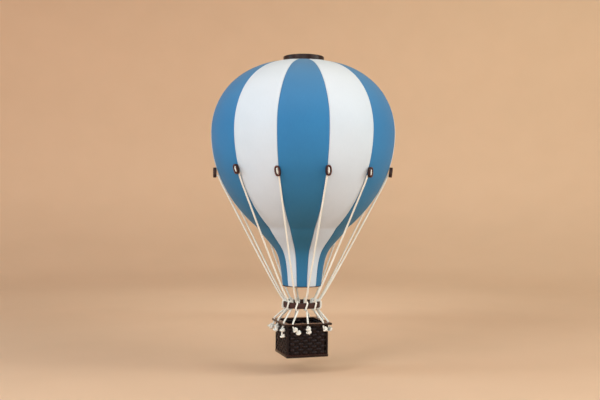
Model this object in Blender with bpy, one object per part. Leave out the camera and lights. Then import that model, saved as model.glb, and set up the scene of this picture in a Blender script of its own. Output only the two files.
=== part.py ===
"""Hanging hot air balloon ornament: cloth gores on a stiff shell, load ring, cords and wicker basket.

Metres, +Z up. The origin is the point of the hanging eye that rests on the thread, so every
height below is negative. The sewn seams are a few degrees off even spacing, as on the hand-made
piece, so SEAMS gives the angle of each from +X.
"""
import math

import bmesh
import bpy
from mathutils import Vector

# Clearance between pieces that touch on the real object
GAP = 0.0003

# Envelope: turned outline from the crown to the mouth, as (radius, height) and curve handles
SEAMS = (1.0, 29.5, 58.0, 87.0, 115.5, 144.0, 172.5, 208.0, 237.5, 267.5, 298.0, 332.5)
GORES = len(SEAMS)
CROWN = (0.026, -0.0062)
EQUATOR = (0.150, -0.1246)
THROAT = (0.0754, -0.2768)
MOUTH = (0.0323, -0.3718)
CROWN_SLOPE = math.radians(4.6)
THROAT_SLOPE = math.radians(36.3)
MOUTH_SLOPE = math.radians(4.8)
CROWN_HANDLE = 0.097
SHOULDER_HANDLE = 0.0456
FLANK_HANDLE = 0.096
THROAT_HANDLES = (0.002, 0.0505)
MOUTH_HANDLE = 0.068
ROWS = (8, 7, 5)
COLUMNS = 3
CLOTH = 0.001
WALL = 0.010

# Flat ring that binds the cloth to the shell at the mouth
BINDING_OUTER = 0.0318
BINDING_BORE = 0.0227
BINDING_THICK = 0.001

# Crown ring, the plate inside it and the eye that the thread passes through
CROWN_RING_OUTER = 0.0333
CROWN_RING_BORE = 0.027
CROWN_RING_TOP = 0.0016
CROWN_RING_EDGE = 0.0012
PLATE_TOP = -0.0041
PLATE_BOSS_RADIUS = 0.0246
PLATE_BOSS_BOTTOM = -0.0135
EYE_WIRE = 0.0007
EYE_RADIUS = 0.0027

# Oval eyelets on the seams
EYELET_HEIGHT = -0.1886
EYELET_WIDTH = 0.0087
EYELET_TALL = 0.0162
EYELET_DEPTH = 0.0052
EYELET_WALL = 0.0018

# Cords and their knots
CORD = 0.0015
EYELET_KNOT = 0.0022
EYELET_KNOT_TALL = 0.0084
EYELET_KNOT_RISE = 0.0046
EYELET_KNOT_SUNK = 0.0007
EYELET_EXIT = ((-0.0024, 0.0044), (0.0, 0.0045), (0.0018, 0.005))
EYELET_CLEAR = 0.0068
KNOT_SHAPE = (0.62, 0.96, 1.0, 0.72, 1.0, 0.96, 0.5)
TAUT_STEP = 0.001
RING_ARRIVAL = (0.0022, 0.0003)
RIM_KNOT = 0.0036
RIM_KNOT_TALL = 0.0126
RIM_KNOT_DROP = 0.0026
KNOT_BEND_DROP = 0.001
HOLE_LEAD = 0.0016
HOLE_DIP = 0.0009

# Load ring
LOAD_RING_OUTER = 0.0298
LOAD_RING_BORE = 0.0258
LOAD_RING_TOP = -0.3988
LOAD_RING_TALL = 0.009
LOAD_RING_EDGE = 0.0008
WRAP_SHIFT = 0.0018

# Basket
RIM_HALF = 0.0398
RIM_OPENING = 0.0308
RIM_TOP = -0.4303
RIM_THICK = 0.003
HOLE_OUT = 0.037
# Place of each cord's hole along its side of the rim, as drilled by hand
HOLE_SHIFTS = (0.0, 0.025, -0.025, 0.0, 0.025, -0.033, -0.01, 0.0224, -0.026, -0.001, 0.025, -0.025)
HOLE_RADIUS = 0.0021
KNOT_OUT = 0.0391
BASKET_HALF = 0.0346
BASKET_WALL = 0.0035
BASKET_BOTTOM = -0.4848
FOOT_TALL = 0.0045
FOOT_HALF = 0.0352
FOOT_INSET = 0.0005
FLOOR_THICK = 0.003
FLOOR_LIFT = 0.0005
CORNER_RADIUS = 0.003
STAKES = 8
WEAVE_ROWS = 10
WEAVE_RELIEF = 0.0006

SEGMENTS = GORES * COLUMNS


def clear_scene():
    for item in list(bpy.data.objects):
        bpy.data.objects.remove(item, do_unlink=True)


def make_material(name, colour, roughness, metallic=0.0):
    material = bpy.data.materials.new(name)
    material.use_nodes = True
    shader = material.node_tree.nodes["Principled BSDF"]
    shader.inputs["Base Color"].default_value = (*colour, 1.0)
    shader.inputs["Roughness"].default_value = roughness
    shader.inputs["Metallic"].default_value = metallic
    material.diffuse_color = (*colour, 1.0)
    return material


def place(name, data, material):
    data.materials.append(material)
    item = bpy.data.objects.new(name, data)
    bpy.context.scene.collection.objects.link(item)
    return item


def finish_mesh(name, bm, material, sharp=35.0):
    bmesh.ops.recalc_face_normals(bm, faces=bm.faces)
    mesh = bpy.data.meshes.new(name)
    bm.to_mesh(mesh)
    bm.free()
    mesh.shade_smooth()
    mesh.set_sharp_from_angle(angle=math.radians(sharp))
    return place(name, mesh, material)


def polar(radius, angle, height):
    return Vector((radius * math.cos(angle), radius * math.sin(angle), height))


def bezier(start, first, second, end, steps):
    """Points of a cubic curve, without its start."""
    points = []
    for step in range(1, steps + 1):
        t = step / steps
        weights = ((1 - t) ** 3, 3 * t * (1 - t) ** 2, 3 * t * t * (1 - t), t ** 3)
        corners = (start, first, second, end)
        points.append(tuple(sum(w * c[axis] for w, c in zip(weights, corners)) for axis in (0, 1)))
    return points


def envelope_outline():
    """Outer face of the cloth from the crown to the mouth."""
    throat_in, throat_out = THROAT_HANDLES
    throat_way = (-math.sin(THROAT_SLOPE), -math.cos(THROAT_SLOPE))
    mouth_way = (-math.sin(MOUTH_SLOPE), -math.cos(MOUTH_SLOPE))
    crown_out = (CROWN[0] + CROWN_HANDLE * math.cos(CROWN_SLOPE),
                 CROWN[1] - CROWN_HANDLE * math.sin(CROWN_SLOPE))
    shoulder = (EQUATOR[0], EQUATOR[1] + SHOULDER_HANDLE)
    flank = (EQUATOR[0], EQUATOR[1] - FLANK_HANDLE)
    above = (THROAT[0] - throat_in * throat_way[0], THROAT[1] - throat_in * throat_way[1])
    below = (THROAT[0] + throat_out * throat_way[0], THROAT[1] + throat_out * throat_way[1])
    neck = (MOUTH[0] - MOUTH_HANDLE * mouth_way[0], MOUTH[1] - MOUTH_HANDLE * mouth_way[1])
    points = [CROWN]
    points += bezier(CROWN, crown_out, shoulder, EQUATOR, ROWS[0])
    points += bezier(EQUATOR, flank, above, THROAT, ROWS[1])
    points += bezier(THROAT, below, neck, MOUTH, ROWS[2])
    return points


def offset_outline(points, depth):
    """The outline moved inwards by a depth, or outwards by a negative one."""
    moved = []
    for index, (radius, height) in enumerate(points):
        before = points[max(index - 1, 0)]
        after = points[min(index + 1, len(points) - 1)]
        way = Vector((after[0] - before[0], after[1] - before[1])).normalized()
        moved.append((radius + way.y * depth, height - way.x * depth))
    return moved


def outline_radius(points, height):
    """Radius of a falling outline at a height."""
    for upper, lower in zip(points, points[1:]):
        if upper[1] >= height >= lower[1]:
            share = (upper[1] - height) / (upper[1] - lower[1])
            return upper[0] + share * (lower[0] - upper[0])
    return points[-1][0]


def outline_height(points, radius):
    """Height of the crown at a radius."""
    for inner, outer in zip(points, points[1:]):
        if inner[0] <= radius <= outer[0]:
            share = (radius - inner[0]) / (outer[0] - inner[0])
            return inner[1] + share * (outer[1] - inner[1])
    return points[0][1]


def solid_between(outer, inner, closed):
    """Closed solid between two grids of points with the same rows and columns."""
    bm = bmesh.new()
    grids = [[[bm.verts.new(point) for point in row] for row in grid] for grid in (outer, inner)]
    rows = len(outer)
    columns = len(outer[0])
    spans = columns if closed else columns - 1
    for grid in grids:
        for row in range(rows - 1):
            for column in range(spans):
                across = (column + 1) % columns
                corners = (grid[row][column], grid[row][across], grid[row + 1][across], grid[row + 1][column])
                bm.faces.new(corners)
    for row in (0, rows - 1):
        for column in range(spans):
            across = (column + 1) % columns
            bm.faces.new((grids[0][row][column], grids[0][row][across],
                          grids[1][row][across], grids[1][row][column]))
    if not closed:
        for column in (0, columns - 1):
            for row in range(rows - 1):
                bm.faces.new((grids[0][row][column], grids[0][row + 1][column],
                              grids[1][row + 1][column], grids[1][row][column]))
    return bm


def turned_rows(points, angles):
    return [[polar(radius, angle, height) for angle in angles] for radius, height in points]


def full_turn(segments):
    return [2 * math.pi * step / segments for step in range(segments)]


def seam_angle(seam):
    """Angle of a seam. The one after the last is the first again, a full turn on."""
    turns, place = divmod(seam, GORES)
    return math.radians(SEAMS[place]) + 2 * math.pi * turns


def turned_ring(name, outer, inner, material, segments=SEGMENTS):
    angles = full_turn(segments)
    bm = solid_between(turned_rows(outer, angles), turned_rows(inner, angles), closed=True)
    return finish_mesh(name, bm, material)


def turned_disc(name, profile, material, segments=SEGMENTS):
    """Solid of revolution whose profile starts and ends on the axis."""
    bm = bmesh.new()
    verts = [bm.verts.new((radius, 0.0, height)) for radius, height in profile]
    edges = [bm.edges.new(pair) for pair in zip(verts, verts[1:])]
    bmesh.ops.spin(bm, geom=verts + edges, cent=(0, 0, 0), axis=(0, 0, 1), angle=2 * math.pi,
                   steps=segments, use_merge=True)
    bmesh.ops.remove_doubles(bm, verts=bm.verts, dist=1e-6)
    return finish_mesh(name, bm, material)


def make_envelope(outline, materials):
    cloth_back = offset_outline(outline, CLOTH)
    shell_face = offset_outline(outline, CLOTH + GAP)
    shell_back = offset_outline(outline, WALL)
    for gore in range(GORES):
        cloth = materials["cloth_blue" if gore % 2 == 0 else "cloth_white"]
        make_panel(f"shell_{gore + 1:02d}", gore, shell_face, shell_back, materials["foam"])
        make_panel(f"gore_{gore + 1:02d}", gore, outline, cloth_back, cloth)
    top = MOUTH[1] - GAP
    outer = [(BINDING_OUTER, top), (BINDING_OUTER, top - BINDING_THICK)]
    inner = [(BINDING_BORE, top), (BINDING_BORE, top - BINDING_THICK)]
    turned_ring("mouth_binding", outer, inner, materials["brown_leather"])


def make_panel(name, gore, face, back, material):
    """One panel between two seams, cut back from each by half a gap."""
    start = seam_angle(gore)
    width = seam_angle(gore + 1) - start
    grids = []
    for outline in (face, back):
        rows = []
        for radius, height in outline:
            cut_back = GAP / 2 / radius
            angles = [start + width * step / COLUMNS for step in range(COLUMNS + 1)]
            angles[0] += cut_back
            angles[-1] -= cut_back
            rows.append([polar(radius, angle, height) for angle in angles])
        grids.append(rows)
    bm = solid_between(*grids, closed=False)
    finish_mesh(name, bm, material)


def make_crown(outline, materials):
    outer_foot = outline_height(outline, CROWN_RING_OUTER) + GAP
    inner_foot = outline_height(outline, CROWN_RING_BORE) + GAP
    edge = CROWN_RING_EDGE
    outer = [(CROWN_RING_OUTER - edge, CROWN_RING_TOP), (CROWN_RING_OUTER, CROWN_RING_TOP - edge),
             (CROWN_RING_OUTER, outer_foot)]
    inner = [(CROWN_RING_BORE + edge, CROWN_RING_TOP), (CROWN_RING_BORE, CROWN_RING_TOP - edge),
             (CROWN_RING_BORE, inner_foot)]
    turned_ring("crown_ring", outer, inner, materials["brown_wood"])
    flange_radius = CROWN_RING_BORE - GAP
    flange_bottom = CROWN[1] + GAP
    profile = [(0.0, PLATE_TOP), (flange_radius, PLATE_TOP), (flange_radius, flange_bottom),
               (PLATE_BOSS_RADIUS, flange_bottom), (PLATE_BOSS_RADIUS, PLATE_BOSS_BOTTOM),
               (0.0, PLATE_BOSS_BOTTOM)]
    turned_disc("crown_plate", profile, materials["brown_wood"])
    make_eye(materials["brass"])


def make_eye(material):
    """Wire staple standing on the crown plate. Its bow is highest above the origin."""
    bow_centre = EYE_WIRE - EYE_RADIUS
    foot = PLATE_TOP + GAP
    points = [(-EYE_RADIUS, 0.0, foot)]
    for step in range(9):
        angle = math.pi - math.pi * step / 8
        points.append((EYE_RADIUS * math.cos(angle), 0.0, bow_centre + EYE_RADIUS * math.sin(angle)))
    points.append((EYE_RADIUS, 0.0, foot))
    make_tube("hanging_eye", points, [1.0] * len(points), EYE_WIRE, material)


def make_tube(name, points, sizes, radius, material):
    curve = bpy.data.curves.new(name, "CURVE")
    curve.dimensions = "3D"
    curve.bevel_depth = radius
    curve.bevel_resolution = 1
    curve.use_fill_caps = True
    spline = curve.splines.new("POLY")
    spline.points.add(len(points) - 1)
    for knot, point, size in zip(spline.points, points, sizes):
        knot.co = (*point, 1.0)
        knot.radius = size
    return place(name, curve, material)


def oval(width, tall, steps=4):
    """Upright oval with straight sides, as (across, up) points."""
    radius = width / 2
    straight = (tall - width) / 2
    points = []
    for sign in (1, -1):
        for step in range(steps + 1):
            angle = math.pi * step / steps
            points.append((sign * radius * math.cos(angle), sign * (straight + radius * math.sin(angle))))
    return points


def seam_frame(seam):
    """Outward and rightward unit vectors of a seam, seen from outside."""
    angle = seam_angle(seam)
    outward = Vector((math.cos(angle), math.sin(angle), 0.0))
    across = Vector((-math.sin(angle), math.cos(angle), 0.0))
    return outward, across


def eyelet_back(outline):
    """Distance of the eyelets' back faces from the axis: the top edge touches the cloth."""
    return outline_radius(outline, EYELET_HEIGHT + EYELET_TALL / 2) + GAP


def make_eyelet(seam, back, material):
    outward, across = seam_frame(seam)
    grids = []
    for trim in (0.0, EYELET_WALL):
        ring = oval(EYELET_WIDTH - 2 * trim, EYELET_TALL - 2 * trim)
        rows = []
        for distance in (back, back + EYELET_DEPTH):
            rows.append([outward * distance + across * side + Vector((0.0, 0.0, EYELET_HEIGHT + up))
                         for side, up in ring])
        grids.append(rows)
    bm = solid_between(*grids, closed=True)
    finish_mesh(f"eyelet_{seam + 1:02d}", bm, material)


def taut_run(start, candidates, end):
    """Points that a tight cord touches on its way down over a bulging outline."""
    run = [start]
    while run[-1] != end:
        last = run[-1]
        below = [point for point in candidates if point[1] < last[1] - TAUT_STEP] + [end]
        run.append(max(below, key=lambda point: (point[0] - last[0]) / (last[1] - point[1])))
    return run


def corner_arc(centre, radius, start, turn, steps=2):
    """Points of a quarter turn in the plane through the axis."""
    points = []
    for step in range(steps + 1):
        angle = math.radians(start + turn * step / steps)
        points.append((centre[0] + radius * math.cos(angle), centre[1] + radius * math.sin(angle)))
    return points


def ring_wrap():
    """One turn of cord round the load ring, as (radius, shift along the ring, height)."""
    reach = CORD + GAP
    bend = reach + LOAD_RING_EDGE
    inside = LOAD_RING_BORE - reach + bend
    outside = LOAD_RING_OUTER + reach - bend
    top = LOAD_RING_TOP + reach - bend
    bottom = LOAD_RING_TOP - LOAD_RING_TALL - reach + bend
    over_in = corner_arc((inside, top), bend, 90, 90)
    under_in = corner_arc((inside, bottom), bend, 180, 90)
    under_out = corner_arc((outside, bottom), bend, 270, 90)
    over_out = corner_arc((outside, top), bend, 0, 90)
    first = [(radius, -WRAP_SHIFT, height) for radius, height in over_in + under_in + under_out]
    second = [(radius, WRAP_SHIFT, height) for radius, height in over_out + over_in]
    leave = corner_arc((inside, bottom), bend, 180, 45, steps=1)
    return first + second + [(radius, WRAP_SHIFT, height) for radius, height in leave]


def knot_sizes(radius):
    """Sizes of the tube along a knot of two lumps."""
    return [share * radius / CORD for share in KNOT_SHAPE]


def rim_hole(seam):
    """Place of a cord's hole in the rim and the outward direction of its side."""
    quarter = GORES // 4
    side = (seam + 1) // quarter
    angle = math.pi / 2 * side
    outward = Vector((round(math.cos(angle)), round(math.sin(angle)), 0.0))
    along = Vector((-outward.y, outward.x, 0.0))
    return outward, along * HOLE_SHIFTS[seam]


def make_cord(seam, outline, back, material):
    """Cord from its knot in the eyelet, down over the cloth, round the load ring and to the rim."""
    outward, across = seam_frame(seam)
    points = []
    sizes = []

    def add(radius, shift, height, size=1.0):
        points.append(outward * radius + across * shift + Vector((0.0, 0.0, height)))
        sizes.append(size)

    front = back + EYELET_DEPTH - EYELET_KNOT_SUNK
    sizes_down = knot_sizes(EYELET_KNOT)
    for step, size in enumerate(sizes_down):
        share = step / (len(sizes_down) - 1)
        add(front, 0.0, EYELET_HEIGHT + EYELET_KNOT_RISE - EYELET_KNOT_TALL * share, size)
    for inward, drop in EYELET_EXIT:
        add(back - inward, 0.0, EYELET_HEIGHT - drop)
    cord_line = offset_outline(outline, -(CORD + GAP))
    clear_height = EYELET_HEIGHT - EYELET_CLEAR
    start = (outline_radius(cord_line, clear_height), clear_height)
    wrap = ring_wrap()
    arrival = (wrap[0][0] + RING_ARRIVAL[0], wrap[0][2] + RING_ARRIVAL[1])
    below = [point for point in cord_line if point[1] > LOAD_RING_TOP]
    for radius, height in taut_run(start, below, arrival):
        shift = -WRAP_SHIFT * (start[1] - height) / (start[1] - arrival[1])
        add(radius, shift, height)
    for radius, shift, height in wrap:
        add(radius, shift, height)
    finish_cord_at_rim(seam, points, sizes)
    make_tube(f"cord_{seam + 1:02d}", points, sizes, CORD, material)


def finish_cord_at_rim(seam, points, sizes):
    """Lead a cord through its hole and end it in a knot under the rim, clear of the wall."""
    outward, sideways = rim_hole(seam)
    above = outward * HOLE_OUT + sideways
    under = outward * KNOT_OUT + sideways
    last = points[-1]
    entry = above + Vector((0.0, 0.0, RIM_TOP + CORD))
    lean = (entry - last).normalized()
    points.append(entry - lean * HOLE_LEAD)
    points.append(entry - Vector((0.0, 0.0, HOLE_DIP)))
    points.append(above + Vector((0.0, 0.0, RIM_TOP - RIM_THICK)))
    sizes += [1.0] * 3
    top = RIM_TOP - RIM_THICK - GAP
    points.append((above + under) / 2 + Vector((0.0, 0.0, top - KNOT_BEND_DROP)))
    sizes.append(1.0)
    sizes_down = knot_sizes(RIM_KNOT)
    for step, size in enumerate(sizes_down):
        share = step / (len(sizes_down) - 1)
        points.append(under + Vector((0.0, 0.0, top - RIM_KNOT_DROP - RIM_KNOT_TALL * share)))
        sizes.append(size)


def make_load_ring(material):
    edge = LOAD_RING_EDGE
    bottom = LOAD_RING_TOP - LOAD_RING_TALL
    heights = (LOAD_RING_TOP, LOAD_RING_TOP - edge, bottom + edge, bottom)
    trims = (edge, 0.0, 0.0, edge)
    outer = [(LOAD_RING_OUTER - trim, height) for trim, height in zip(trims, heights)]
    inner = [(LOAD_RING_BORE + trim, height) for trim, height in zip(trims, heights)]
    turned_ring("load_ring", outer, inner, material)


def rounded_square(half, radius, steps=2):
    points = []
    for corner in range(4):
        turn = math.pi / 2 * corner
        centre = Vector((half - radius, half - radius))
        for step in range(steps + 1):
            angle = math.pi / 2 * step / steps
            local = centre + radius * Vector((math.cos(angle), math.sin(angle)))
            points.append((local.x * math.cos(turn) - local.y * math.sin(turn),
                           local.x * math.sin(turn) + local.y * math.cos(turn)))
    return points


def level_rows(points, heights):
    return [[Vector((x, y, height)) for x, y in points] for height in heights]


def make_square_ring(name, half, opening, heights, material):
    outer = level_rows(rounded_square(half, CORNER_RADIUS), heights)
    inner = level_rows(rounded_square(opening, CORNER_RADIUS / 2), heights)
    return finish_mesh(name, solid_between(outer, inner, closed=True), material)


def make_rim(material):
    rim = make_square_ring("basket_rim", RIM_HALF, RIM_OPENING, (RIM_TOP, RIM_TOP - RIM_THICK), material)
    bm = bmesh.new()
    for seam in range(GORES):
        outward, sideways = rim_hole(seam)
        centre = outward * HOLE_OUT + sideways + Vector((0.0, 0.0, RIM_TOP - RIM_THICK / 2))
        ring = bmesh.ops.create_cone(bm, cap_ends=True, segments=10, radius1=HOLE_RADIUS,
                                     radius2=HOLE_RADIUS, depth=2 * RIM_THICK)
        bmesh.ops.translate(bm, verts=ring["verts"], vec=centre)
    cutter = finish_mesh("rim_hole_cutter", bm, material)
    cutter.hide_render = True
    cutter.display_type = "WIRE"
    holes = rim.modifiers.new("holes", "BOOLEAN")
    holes.operation = "DIFFERENCE"
    holes.object = cutter


def woven_loop(half, height, row, relief):
    """Level loop round the basket: a stake every cell, in front of or behind the strand."""
    points = []
    cell = 2 * (half - CORNER_RADIUS) / STAKES
    for side in range(4):
        angle = math.pi / 2 * side
        outward = Vector((math.cos(angle), math.sin(angle), 0.0))
        along = Vector((-math.sin(angle), math.cos(angle), 0.0))
        points.append(outward * half - along * (half - CORNER_RADIUS))
        for stake in range(STAKES):
            bulge = relief if (stake + row) % 2 else -relief
            points.append(outward * (half + bulge) + along * (cell * (stake + 0.5) - half + CORNER_RADIUS))
        points.append(outward * half + along * (half - CORNER_RADIUS))
    lift = Vector((0.0, 0.0, height))
    return [point + lift for point in points]


def make_basket(material):
    top = RIM_TOP - RIM_THICK - GAP
    foot_top = BASKET_BOTTOM + FOOT_TALL
    bottom = foot_top + GAP
    strand = (top - bottom) / WEAVE_ROWS
    heights = [top] + [top - strand * (row + 0.5) for row in range(WEAVE_ROWS)] + [bottom]
    outer = []
    inner = []
    for row, height in enumerate(heights):
        relief = 0.0 if row in (0, len(heights) - 1) else WEAVE_RELIEF
        outer.append(woven_loop(BASKET_HALF, height, row, relief))
        inner.append(woven_loop(BASKET_HALF - BASKET_WALL, height, row, relief))
    finish_mesh("basket_walls", solid_between(outer, inner, closed=True), material)
    foot_opening = BASKET_HALF - BASKET_WALL - FOOT_INSET
    make_square_ring("basket_foot", FOOT_HALF, foot_opening, (foot_top, BASKET_BOTTOM), material)
    floor_half = foot_opening - GAP
    floor_bottom = BASKET_BOTTOM + FLOOR_LIFT
    bm = bmesh.new()
    bottom_face = bm.faces.new([bm.verts.new((x, y, floor_bottom))
                                for x, y in rounded_square(floor_half, CORNER_RADIUS / 2)])
    lifted = bmesh.ops.extrude_face_region(bm, geom=[bottom_face], use_keep_orig=True)
    verts = [item for item in lifted["geom"] if isinstance(item, bmesh.types.BMVert)]
    bmesh.ops.translate(bm, verts=verts, vec=(0.0, 0.0, FLOOR_THICK))
    finish_mesh("basket_floor", bm, material)


def main():
    clear_scene()
    materials = {
        "cloth_blue": make_material("cloth_blue", (0.06, 0.25, 0.48), 0.85),
        "cloth_white": make_material("cloth_white", (0.82, 0.82, 0.82), 0.85),
        "foam": make_material("foam", (0.75, 0.74, 0.70), 0.9),
        "brown_wood": make_material("brown_wood", (0.06, 0.035, 0.03), 0.45),
        "brown_leather": make_material("brown_leather", (0.09, 0.045, 0.035), 0.55),
        "wicker": make_material("wicker", (0.05, 0.03, 0.022), 0.6),
        "cotton_cord": make_material("cotton_cord", (0.72, 0.66, 0.54), 0.9),
        "brass": make_material("brass", (0.7, 0.52, 0.25), 0.3, 1.0),
    }
    outline = envelope_outline()
    make_envelope(outline, materials)
    make_crown(outline, materials)
    back = eyelet_back(outline)
    for seam in range(GORES):
        make_eyelet(seam, back, materials["brown_leather"])
        make_cord(seam, outline, back, materials["cotton_cord"])
    make_load_ring(materials["brown_leather"])
    make_rim(materials["wicker"])
    make_basket(materials["wicker"])


main()
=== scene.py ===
"""Looks of the hanging hot air balloon ornament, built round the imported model.

Metres, +Z up. The origin is the point of the hanging eye that bears on the thread. The basket faces
+-X and +-Y, and SEAMS gives the angle of each sewn seam of the envelope from +X.
"""
import math
import random

import bmesh
import bpy
import numpy as np
from mathutils import Matrix, Vector

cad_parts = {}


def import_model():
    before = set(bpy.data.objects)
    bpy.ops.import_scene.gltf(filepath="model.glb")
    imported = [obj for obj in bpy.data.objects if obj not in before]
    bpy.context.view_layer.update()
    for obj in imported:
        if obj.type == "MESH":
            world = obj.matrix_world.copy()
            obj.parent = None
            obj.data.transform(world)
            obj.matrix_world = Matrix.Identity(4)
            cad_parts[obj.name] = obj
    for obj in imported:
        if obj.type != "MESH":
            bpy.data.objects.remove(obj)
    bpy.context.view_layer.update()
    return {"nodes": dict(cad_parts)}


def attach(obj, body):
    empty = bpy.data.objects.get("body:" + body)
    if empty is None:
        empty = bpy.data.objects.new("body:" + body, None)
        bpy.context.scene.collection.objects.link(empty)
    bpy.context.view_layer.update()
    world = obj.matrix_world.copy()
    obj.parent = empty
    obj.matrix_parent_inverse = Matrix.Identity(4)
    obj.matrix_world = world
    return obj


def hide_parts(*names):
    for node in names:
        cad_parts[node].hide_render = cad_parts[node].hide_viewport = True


MM = 0.001
GAP = 0.0003
SEED = 7

# Photograph: a level camera 1.37 m away, turned 17.5 degrees to the left of the basket's front
EYE_HEIGHT = -0.2328
EYE_DISTANCE = 1.3665
EYE_AZIMUTH = math.radians(-17.5)
EYE_SHIFT = 0.0041
EYE_ROLL = math.radians(0.47)
LENS_MM = 50.0
SENSOR_MM = 36.0

# Envelope: turned outline from the crown to the mouth, as (radius, height) and curve handles
SEAMS = (1.0, 29.5, 58.0, 87.0, 115.5, 144.0, 172.5, 208.0, 237.5, 267.5, 298.0, 332.5)
GORES = len(SEAMS)
CROWN = (0.026, -0.0062)
EQUATOR = (0.150, -0.1246)
THROAT = (0.0754, -0.2768)
MOUTH = (0.0323, -0.3718)
CROWN_SLOPE = math.radians(4.6)
THROAT_SLOPE = math.radians(36.3)
MOUTH_SLOPE = math.radians(4.8)
CROWN_HANDLE = 0.097
SHOULDER_HANDLE = 0.0456
FLANK_HANDLE = 0.096
# Handles above the throat and below it, along the way down
THROAT_HANDLES = (-0.002, 0.0505)
MOUTH_HANDLE = 0.068
CLOTH = 0.001

# Cloth panels: puff in the middle, a turned edge at each seam, creases where the neck begins
OUTLINE_STEPS = 24
GORE_ROWS = 120
GORE_COLUMNS = 18
FRONT_GORE = 8
# Panel width, or radius, below which its puff and the drawing in of its seams fade out
NARROW = 0.05
PUFF = 0.00025
SEAM_DIP = 0.0006
SEAM_EDGE = 0.0019
EDGE_STEPS = (0.0, 0.0003, 0.0007, 0.0012, 0.0019)
EDGE_SPARE = 0.0004
# Slow waves over each panel: how many, how high, how far they keep from the seams, and the ranges
# of their phase, of their radians a metre down the panel and of those across it
WAVES = 4
WAVE_HEIGHT = 0.00005
WAVE_EDGE = 0.01
WAVE_RANGES = ((0, 6.28), (14, 30), (3.0, 9.0))
# The front panel's seams, how far they are drawn in at the crown, and the heights where that is
# full and where it ends
SEAMS_DRAWN = (FRONT_GORE, FRONT_GORE + 1)
SEAM_DRAW = 0.0048
SEAM_DRAW_FULL = -0.015
SEAM_DRAW_END = -0.102
# Height and depth of each crease
CREASES = ((-0.2986, 0.00034), (-0.3184, 0.00028))
CREASE_WIDTH = 0.0013
CREASE_EDGE = 0.002
# The bulge below a crease, as a share of its depth, and its place and width in crease widths
CREASE_BULGE = (0.5, 2.2, 1.6)
# How far a crease strays in height and in slope, and the range of its depth as a share
CREASE_STRAY = 0.004
CREASE_SLOPE = 0.12
CREASE_SHARE = (0.5, 1.1)
# Heights between which the cloth is painted paler towards the crown as a painted sheen, and those round its
# lower flank and neck, painted darker as painted shade
SHEEN_HEIGHTS = (-0.115, -0.004)
SHADE_HEIGHTS = (-0.372, -0.15)
# Hem at the mouth: how tall it is and how far it turns in
HEM = 0.0014
HEM_TURN = 0.0007
BINDING_OUTER = 0.0318
BINDING_BORE = 0.0227
BINDING_THICK = 0.001
BINDING_ROUND = 0.0003

# Crown
CROWN_RING_OUTER = 0.0333
CROWN_RING_BORE = 0.027
CROWN_RING_TOP = 0.0016
CROWN_ROUND = 0.001
PLATE_TOP = -0.0041
PLATE_CENTRE = 0.00005
PLATE_RADII = (0, 0.0004, 0.0003, 0, 0.0005, 0)
PLATE_BOSS_RADIUS = 0.0246
PLATE_BOSS_BOTTOM = -0.0135
# The ring's bore ends this far above the crown's edge, and its outer wall that much lower
CROWN_SEAT = 0.0002
CROWN_SKIRT = 0.0009
HANGER_WIRE = 0.0007
HANGER_RADIUS = 0.0027
HANGER_STEP = 0.0003

# Oval eyelets, one on each seam, as a wall swept round an upright oval
EYELET_HEIGHT = -0.1886
EYELET_WIDTH = 0.0087
EYELET_TALL = 0.0162
EYELET_DEPTH = 0.0052
EYELET_WALL = 0.0018
# Rounding of its wall's edges, at the back and in front, and the power that fills out its oval
EYELET_ROUNDS = (0.00036, 0.00036, 0.00078, 0.00078)
EYELET_SWELL = 0.86
EYELET_POINTS = 72
# Each listed eyelet sits a little off: rise, and roll, lean and yaw in degrees
EYELET_SET = {
    6: (-0.0011, 1.0, 0.0, 0.0), 7: (0.0022, 22.0, 4.0, -4.0), 8: (-0.0016, 12.0, 2.0, -10.0),
    9: (0.0, 1.0, 1.0, 11.0), 10: (-0.0012, -4.0, 2.0, 6.0), 11: (0.0014, 0.0, 6.0, 0.0),
}
# The others stray at random by up to this
EYELET_SCATTER = (0.0012, 4.0, 3.0, 5.0)
# The cord's bight through an eyelet, as (distance from the eyelet's back, rise)
BIGHT = ((0.0004, 0.0034), (0.0022, 0.0039), (0.0033, 0.0027), (0.0036, 0.0), (0.0033, -0.0027),
         (0.0022, -0.0041), (0.0002, -0.0045), (-0.0018, -0.005))
# How far below an eyelet's middle its cord comes to lie on the cloth
EYELET_CLEAR = 0.0070

# Cords
CORD = 0.0015
CORD_LAY = 0.0085
CORD_SIDES = 18
CORD_STEP = 0.00065
# Radius of each of the three strands as a share of the cord's, and the least reach between them
STRAND = 0.464
STRAND_GROOVE = 0.84
# The strands' ridges stand a little proud of the plain cord, and its free end is cut narrower
CORD_PROUD = 1.04
CORD_TIP = 0.8
# Knots under the rim: place of each as (sideways, outwards, down) from the hole's lower mouth, and the
# way from the last one to the cord's free end, all in millimetres
RIM_KNOTS = {
    5: (((0.0, 2.8, 8.0), (0.0, 5.4, 10.0)), (-0.5, 5.6, -2.0)),
    6: (((1.4, 2.4, 6.4), (2.4, 4.2, 10.6)), (-1.0, -1.0, 4.4)),
    7: (((2.8, 2.5, 7.0), (3.2, 2.4, 16.8)), (3.4, 0.6, 0.2)),
    8: (((3.2, 2.7, 5.4), (8.6, 2.9, 10.3)), (2.0, 0.6, 3.4)),
    9: (((0.2, 2.7, 4.6), (1.0, 2.9, 9.6)), (0.6, 0.8, 4.2)),
    10: (((2.4, 2.7, 5.8),), (3.6, 1.6, 3.0)),
    11: (((-1.5, 3.0, 8.2),), (0.6, 1.6, 4.0)),
}
# How much of the tight knot is used, in cord diameters either way from its middle, and its squeeze
KNOT_REACH = 1.32
KNOT_SQUEEZE = 0.48
# Weight of the way onwards against the way in, for a knot's axis
KNOT_ONWARD = 0.6

# Load ring
LOAD_RING_OUTER = 0.0298
LOAD_RING_BORE = 0.0258
LOAD_RING_TOP = -0.3988
LOAD_RING_TALL = 0.009
LOAD_RING_EDGE = 0.0008
WRAP_SHIFT = 0.0017
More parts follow.
